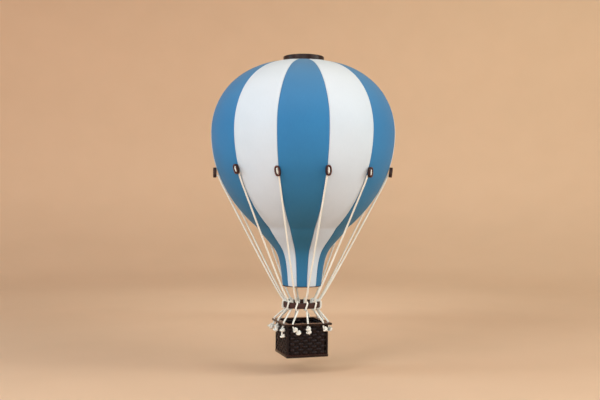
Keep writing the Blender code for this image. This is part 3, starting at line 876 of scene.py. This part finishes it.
def tight_knot(length=15.0, spacing=0.3, rounds=330):
    """Centreline of an overhand knot pulled tight, in cord diameters, running down -Z.

    A loose trefoil is pulled at both ends, while its length stays and no two stretches come
    closer than a diameter.
    """
    count = round(length / spacing) + 1
    t = np.linspace(-2.2, 2.2, 400)
    loose = np.stack([t ** 3 - 3 * t, t ** 4 - 4 * t ** 2, 0.22 * (t ** 5 - 10 * t)], axis=1)
    points = spaced(loose, count)
    points *= length / lengths(points)[-1]
    apart = np.abs(np.subtract.outer(np.arange(count), np.arange(count)))
    least = np.sin(np.minimum(apart * spacing, math.pi / 2))
    least[apart < 2] = 0.0
    way = points[0] - points[-1]
    way /= np.linalg.norm(way)
    pull = 0.02 * way
    for _ in range(rounds):
        points[0] += pull
        points[-1] -= pull
        for _ in range(6):
            keep_length(points, spacing)
            gap = points[:, None] - points[None]
            size = np.linalg.norm(gap, axis=2) + 1e-9
            short = np.clip(least - size, 0, None)
            points += 0.25 * (gap / size[..., None] * short[..., None]).sum(axis=1)
    centre = (points[0] + points[-1]) / 2
    turn = Vector(way).rotation_difference(rising(1.0)).to_matrix()
    return (points - centre) @ np.array(turn).T


def keep_length(points, spacing):
    """Move neighbours along a line to the same distance apart."""
    count = len(points)
    for start in (0, 1):
        number = (count - start) // 2
        left = points[start:start + 2 * number:2]
        right = points[start + 1:start + 1 + 2 * number:2]
        gap = right - left
        size = np.linalg.norm(gap, axis=1, keepdims=True)
        push = gap * (0.5 * (1 - spacing / size))
        left += push
        right -= push


def taut_run(start, candidates, end, drop=0.001):
    """Points that a tight cord touches on its way down over a bulging outline."""
    run = [start]
    while run[-1] != end:
        last = run[-1]
        below = [point for point in candidates if point[1] < last[1] - drop] + [end]
        run.append(max(below, key=lambda point: (point[0] - last[0]) / (last[1] - point[1])))
    return run


def turned_arc(centre, radius, start, turn, apart=22.5):
    """Points of a turn in the plane through the axis, some degrees apart."""
    steps = round(abs(turn) / apart)
    return [moved(centre, math.radians(start + turn * step / steps), radius) for step in range(steps + 1)]


def ring_wrap():
    """One turn of cord round the load ring, as (radius, shift along the ring, height)."""
    reach = CORD + GAP
    bend = reach + LOAD_RING_EDGE
    inside = LOAD_RING_BORE - reach + bend
    outside = LOAD_RING_OUTER + reach - bend
    top = LOAD_RING_TOP + reach - bend
    bottom = LOAD_RING_TOP - LOAD_RING_TALL - reach + bend
    turns = (((inside, top), 90, 90, -1.0), ((inside, bottom), 180, 90, -1.0),
             ((outside, bottom), 270, 90, -0.75), ((outside, top), 0, 90, 0.6),
             ((inside, top), 90, 90, 1.0), ((inside, bottom), 180, 45, 1.0))
    return [(radius, share * WRAP_SHIFT, height) for centre, start, turn, share in turns
            for radius, height in turned_arc(centre, bend, start, turn)]


def rim_hole(seam):
    """Ways outwards and along a hole's side of the rim, and the hole's place along that side."""
    outward, along = side_ways(math.pi / 2 * ((seam + 1) // (GORES // 4)))
    return outward, along, along * HOLE_SHIFTS[seam]


def knot_points(knot, axis, centre):
    """A tight knot about a centre, running along an axis, with its wide side towards the camera."""
    core = knot[np.abs(knot[:, 2]) < KNOT_REACH] * np.array((1.0, 1.0, KNOT_SQUEEZE)) * 2 * CORD
    core -= core.mean(axis=0)
    lean = rising(-1.0).rotation_difference(axis).to_matrix()
    across = np.array(axis.cross(eye_way()).normalized())
    turned = [core @ np.array(lean @ Matrix.Rotation(math.pi / 12 * step, 3, "Z")).T for step in range(12)]
    return max(turned, key=lambda points: np.ptp(points @ across)) + np.array(centre)


def end_under_rim(seam, knot, rng):
    """Points of a cord from its hole in the rim through its knots to its free end."""
    outward, along, sideways = rim_hole(seam)
    mouth = outward * HOLE_OUT + sideways + rising(RIM_TOP - RIM_THICK)
    plain = (((rng.uniform(-1, 1), 3.0, 5.0), (rng.uniform(-3, 3), 3.1, rng.uniform(11, 14))),
             (rng.uniform(-2, 2), 1.5, 4.0))
    spots, tail = RIM_KNOTS.get(seam, plain)

    def spot(sideways_mm, outwards_mm, down_mm):
        return (along * sideways_mm + outward * outwards_mm - rising(down_mm)) * MM

    centres = [mouth + spot(*place) for place in spots]
    end = centres[-1] + spot(*tail)
    line = [mouth, *centres, end]
    points = [np.array(mouth)]
    for before, centre, after in zip(line, centres, line[2:]):
        axis = ((centre - before).normalized() + KNOT_ONWARD * (after - centre).normalized()).normalized()
        points += list(knot_points(knot, axis, centre))
    last = Vector(points[-1])
    return points + [np.array(last.lerp(end, 0.5)), np.array(end)]


def cord_line(seam, outline, frame_of_seam, knot, rng):
    """Centreline of a whole cord, from its eyelet to its free end."""
    outward, across = side_ways(seam_angle(seam))
    points = [np.array(frame_of_seam @ Vector((out, 0.0, up))) for out, up in BIGHT]
    cloth_line = offset_outline(outline, -(CORD + GAP))
    height = EYELET_HEIGHT - EYELET_CLEAR
    start = (outline_radius(cloth_line, height), height)
    wrap = ring_wrap()
    arrival = (wrap[0][0] + ARRIVAL[0], wrap[0][2] + ARRIVAL[1])
    below = [point for point in cloth_line if point[1] > LOAD_RING_TOP]
    run = [(radius, -WRAP_SHIFT * (start[1] - level) / (start[1] - arrival[1]), level)
           for radius, level in taut_run(start, below, arrival)]
    points += [np.array(outward * radius + across * shift + rising(level))
               for radius, shift, level in run + wrap]
    rim_out, _, sideways = rim_hole(seam)
    entry = rim_out * HOLE_OUT + sideways + rising(RIM_TOP + CORD)
    lean = (entry - Vector(points[-1])).normalized()
    points += [np.array(entry - lean * HOLE_LEAD), np.array(entry - rising(HOLE_DIP))]
    return points + end_under_rim(seam, knot, rng)


def cord_grid(points):
    """Three twisted strands, as one ridged tube, with its metres around and along."""
    along = lengths(points)
    angles = round_angles(CORD_SIDES)
    centre = 1 - STRAND
    inside = (angles % (2 * math.pi / 3)) - math.pi / 3
    reach = centre * np.cos(inside) + np.sqrt(np.clip(STRAND ** 2 - (centre * np.sin(inside)) ** 2, 0, None))
    size = np.full(len(points), CORD * CORD_PROUD)
    size[-1] *= CORD_TIP
    ring = ring_ways(points, angles[None] + (2 * math.pi * along / CORD_LAY)[:, None])
    grid = points[:, None] + ring * (size[:, None] * np.maximum(reach, STRAND_GROOVE)[None])[..., None]
    return grid, tube_lay(angles, CORD, along)


def make_cord(seam, outline, frame_of_seam, knot, rng):
    points = smooth_line(cord_line(seam, outline, frame_of_seam, knot, rng), CORD_STEP)
    mesh = grid_mesh(f"cord_rope_{seam + 1:02d}", [cord_grid(points)], around=True, caps=True)
    make_piece(mesh, "natural_cotton", "cotton_cord", f"cord_{seam + 1:02d}", sharp=70)


def make_load_ring():
    bottom = LOAD_RING_TOP - LOAD_RING_TALL
    corners = [(LOAD_RING_OUTER, bottom), (LOAD_RING_OUTER, LOAD_RING_TOP), (LOAD_RING_BORE, LOAD_RING_TOP),
               (LOAD_RING_BORE, bottom)]
    make_turned("load_ring_body", "load_ring", corners, [LOAD_RING_EDGE] * 4, "ring_leather",
                "brown_leather")


# Basket

def square_line(half, radius):
    """Rounded square, as points (x, y), anticlockwise from the middle of the +X side."""
    corners = [(half, half), (-half, half), (-half, -half), (half, -half)]
    return [(half, 0.0), *rounded_profile(corners, [radius] * 4, 6)]


def square_frame_mesh(name, half, opening, low, high, rounding):
    """Closed square frame with rounded edges, swept round its corners."""
    outer = square_line(half, CORNER_RADIUS)
    inner = square_line(opening, max(CORNER_RADIUS - (half - opening), INNER_CORNER))
    width = half - opening
    section = rounded_profile([(0.0, low), (width, low), (width, high), (0.0, high)], [rounding] * 4, 3)
    grid = np.zeros((len(outer), len(section), 3))
    for row, (out, into) in enumerate(zip(outer, inner)):
        way = Vector(out) - Vector(into)
        for column, (place, level) in enumerate(section):
            spot = Vector(into) + way * (place / width)
            grid[row, column] = (spot.x, spot.y, level)
    return grid_mesh(name, [(grid, None)], around=True, along=True)


def make_rim():
    """Flat frame with a drilled hole for each cord."""
    mesh = square_frame_mesh("rim_frame", RIM_HALF, RIM_OPENING, RIM_TOP - RIM_THICK, RIM_TOP, RIM_ROUND)
    rim = make_piece(mesh, "rim_wood", "wicker", "basket_rim")
    bm = bmesh.new()
    for seam in range(GORES):
        outward, _, sideways = rim_hole(seam)
        centre = outward * HOLE_OUT + sideways + rising(RIM_TOP - RIM_THICK / 2)
        ring = bmesh.ops.create_cone(bm, cap_ends=True, segments=28, radius1=HOLE_RADIUS,
                                     radius2=HOLE_RADIUS, depth=3 * RIM_THICK)
        bmesh.ops.translate(bm, verts=ring["verts"], vec=centre)
    cutter_mesh = bpy.data.meshes.new("rim_drill")
    bm.to_mesh(cutter_mesh)
    bm.free()
    cutter = add_object("rim_drill", cutter_mesh)
    drilled = rim.modifiers.new("holes", "BOOLEAN")
    drilled.operation = "DIFFERENCE"
    drilled.object = cutter
    shape = bpy.data.meshes.new_from_object(rim.evaluated_get(bpy.context.evaluated_depsgraph_get()))
    rim.modifiers.clear()
    rim.data = shape
    shape.set_sharp_from_angle(angle=math.radians(40))
    bpy.data.objects.remove(cutter)


def stake_shift(half, stake):
    """Place of a stake along its side of the basket."""
    return 2 * (half - CORNER_RADIUS) / STAKES * (stake + 0.5) - half + CORNER_RADIUS


def woven_line(half, row, height):
    """Weaver round the basket: before and behind the stakes in turn, inside the corner posts."""
    swing = (STAKE_THICK + WEAVER_THICK) / 2
    points = []
    for side in range(4):
        outward, along = side_ways(math.pi / 2 * side)
        for stake in range(STAKES):
            bulge = swing if (stake + row) % 2 else -swing
            spot = outward * (half + bulge) + along * stake_shift(half, stake)
            points.append(np.array(spot + rising(height)))
        corner = (outward + along) * (half - POST_RADIUS - WEAVER_THICK * 0.25)
        points.append(np.array(corner + rising(height)))
    return points


def closed_smooth(points, step):
    """A smooth closed curve through the points, without its repeated end."""
    line = smooth_line([*points[-3:], *points, *points[:3]], step)
    away = np.linalg.norm(line - points[0], axis=1)
    half = len(line) // 2
    return line[np.argmin(away[:half]):half + np.argmin(away[half:])]


def strand_grid(line, thick, tall):
    """Flat oval reed round a closed level line, with its metres around and along."""
    out = np.pad(outward_ways(line), ((0, 0), (0, 1)))
    angles = round_angles(REED_SIDES)
    flat = thick / 2 * swollen(np.cos(angles), 0.85)
    upright = np.outer(tall / 2 * swollen(np.sin(angles), 0.7), (0.0, 0.0, 1.0))
    along = np.append(lengths(line), lengths(line)[-1] + WEAVER_STEP)
    grid = line[:, None] + out[:, None] * flat[None, :, None] + upright[None]
    return grid, tube_lay(angles, tall / 3, along)


def make_weave(rng):
    """Ten weavers round upright stakes and corner posts."""
    top = RIM_TOP - RIM_THICK - GAP
    bottom = BASKET_BOTTOM + FOOT_TALL + GAP
    middle = BASKET_HALF - BASKET_WALL / 2
    pitch = (top - bottom) / WEAVE_ROWS
    reeds = []
    for row in range(WEAVE_ROWS):
        points = [point + np.array((0, 0, rng.uniform(-WEAVER_STRAY, WEAVER_STRAY)))
                  for point in woven_line(middle, row, bottom + pitch * (row + 0.5))]
        line = closed_smooth(points, WEAVER_STEP)
        reeds.append(strand_grid(line, WEAVER_THICK, pitch * rng.uniform(*WEAVER_TALL)))
    weavers = grid_mesh("basket_weavers", reeds, around=True, along=True)
    make_piece(weavers, "lacquered_reed", "wicker", "basket_walls")
    make_stakes(middle, bottom, top, rng)


def make_stakes(middle, bottom, top, rng):
    """Flat stakes along each side of the basket, and a round post in each corner."""
    angles = round_angles(REED_SIDES)
    reeds = []
    for side in range(4):
        outward, along = np.array(side_ways(math.pi / 2 * side))
        for stake in range(STAKES + 1):
            foot = outward * middle + along * stake_shift(middle, stake)
            thick, wide = STAKE_THICK / 2, STAKE_WIDE / 2
            if stake == STAKES:
                foot = (outward + along) * (BASKET_HALF - POST_RADIUS)
                thick, wide = POST_RADIUS, POST_RADIUS
            line = np.linspace(foot + np.array((0, 0, bottom)), foot + np.array((0, 0, top)), STAKE_POINTS)
            ring = outward * (thick * np.cos(angles))[:, None] + along * (wide * np.sin(angles))[:, None]
            lay = tube_lay(angles, wide, line[:, 2] + rng.uniform(0, 1))
            reeds.append((line[:, None] + ring[None], lay))
    stakes = grid_mesh("basket_stakes", reeds, around=True, caps=True)
    make_piece(stakes, "lacquered_reed", "wicker", sharp=50)


def make_foot():
    """Border along the basket's lower edge."""
    mesh = square_frame_mesh("basket_foot_border", FOOT_HALF, BASKET_HALF - BASKET_WALL - FOOT_STEP,
                             BASKET_BOTTOM, BASKET_BOTTOM + FOOT_TALL, FOOT_ROUND)
    # Its top face gets the rim's painted reflection
    make_piece(mesh, "rim_wood", "wicker", "basket_foot")


def make_floor_plait(rng):
    """Plaited bottom: flat reeds one over and one under, both ways."""
    half = BASKET_HALF - BASKET_WALL - FOOT_STEP - GAP - FLOOR_SPARE
    pitch = 2 * half / FLOOR_STRIPS
    centre = BASKET_BOTTOM + FOOT_STEP + FLOOR_THICK / 2
    thick = FLOOR_THICK * FLOOR_REED[1]
    angles = round_angles(FLOOR_SIDES)
    flat = swollen(np.cos(angles), 0.5) * pitch * FLOOR_REED[0] / 2
    tall = swollen(np.sin(angles), 0.7) * thick / 2
    run = np.linspace(-half, half, FLOOR_POINTS)
    reeds = []
    for direction in range(2):
        for strip in range(FLOOR_STRIPS):
            wave = np.sin(math.pi * (run + half) / pitch) * (-1) ** (strip + direction)
            levels = (centre + (FLOOR_THICK - thick) / 2 * 0.9 * wave)[:, None] + tall[None]
            places = (run[:, None], (-half + pitch * (strip + 0.5) + flat)[None])
            if direction:
                places = places[::-1]
            grid = np.stack(np.broadcast_arrays(*places, levels), axis=-1)
            reeds.append((grid, tube_lay(angles, pitch / 3, run + rng.uniform(0, 1))))
    mesh = grid_mesh("basket_floor_plait", reeds, around=True, caps=True)
    make_piece(mesh, "lacquered_reed", "wicker", "basket_floor", sharp=50)


# Studio

def make_stage():
    """Round sweep of warm pale paper that rises far behind the object on every side."""
    profile = smooth_line(SWEEP, SWEEP_STEP)
    angles = round_angles(SWEEP_SEGMENTS)
    grid = np.stack([np.outer(profile[:, 0], np.cos(angles)), np.outer(profile[:, 0], np.sin(angles)),
                     np.tile(profile[:, 1:] + FLOOR_HEIGHT, (1, len(angles)))], axis=-1)
    mesh = grid_mesh("studio_sweep", [(grid, None)], around=True)
    mesh.flip_normals()
    mesh.shade_smooth()
    paint = Paint("sweep_paper", Specular_IOR_Level=0.1)
    grain = paint.noise(paint.coordinates(), 9.0, 3.0)
    colour = paint.ramp(grain, (0.3, (0.783, 0.505, 0.334)), (0.7, (0.800, 0.518, 0.345)))
    mesh.materials.append(paint.finish(colour, paint.spread(grain, 0.9, 0.95)))
    sweep = add_object("studio_sweep", mesh)


def make_light(name, place, way, size, power, colour):
    """Round soft light at a place, shining against a way."""
    light = bpy.data.lights.new(name, "AREA")
    light.shape = "DISK"
    light.size = size
    light.energy = power
    light.color = colour
    lamp = add_object(name, light)
    lamp.location = place
    lamp.rotation_euler = way.to_track_quat("Z", "Y").to_euler()
    lamp.visible_camera = False


def make_lights():
    for name, (azimuth, elevation, distance, *rest) in LIGHTS.items():
        rise = math.radians(elevation)
        way = eye_way(math.radians(azimuth)) * math.cos(rise) + rising(math.sin(rise))
        make_light(name, way * distance + rising(LIGHT_AIM), way, *rest)
    for name, (azimuth, out, size, height, tilt, *rest) in BACKDROP_LIGHTS.items():
        away = eye_way(math.radians(azimuth))
        make_light(name, away * out + rising(height), -away - rising(tilt), size, *rest)
    world = bpy.data.worlds.new("studio_fill")
    world.use_nodes = True
    world.node_tree.nodes["Background"].inputs["Strength"].default_value = 0.0
    bpy.context.scene.world = world
    bpy.context.scene.view_settings.view_transform = "Standard"


def make_camera():
    """Level camera on the photograph's line of sight, a touch to its left and rolled a little."""
    back = eye_way()
    data = bpy.data.cameras.new("photo_camera")
    data.lens = LENS_MM
    data.sensor_width = SENSOR_MM
    camera = add_object("photo_camera", data)
    camera.location = back * EYE_DISTANCE - eye_way(math.pi / 2) * EYE_SHIFT + rising(EYE_HEIGHT)
    aim = (-back).to_track_quat("-Z", "Y").to_matrix().to_4x4()
    camera.rotation_euler = (aim @ Matrix.Rotation(EYE_ROLL, 4, "Z")).to_euler()
    bpy.context.scene.camera = camera


def main():
    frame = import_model()
    rng = random.Random(SEED)
    make_camera()
    make_materials()
    outline = envelope_outline(OUTLINE_STEPS)
    make_gores(spaced(outline, GORE_ROWS), rng)
    moulded = bpy.data.materials["moulded_foam"]
    for index in range(GORES):
        frame["nodes"][f"shell_{index + 1:02d}"].material_slots[0].material = moulded
    make_binding()
    make_crown()
    knot = tight_knot()
    for seam in range(GORES):
        scatter = [size * rng.uniform(-1, 1) for size in EYELET_SCATTER]
        settings = EYELET_SET.get(seam, (scatter[0], scatter[1], abs(scatter[2]), scatter[3]))
        frame_of_seam = seam_matrix(seam, outline, settings)
        make_eyelet(seam, frame_of_seam)
        make_cord(seam, outline, frame_of_seam, knot, rng)
    make_load_ring()
    make_rim()
    make_weave(rng)
    make_foot()
    make_floor_plait(rng)
    make_stage()
    make_lights()


main()
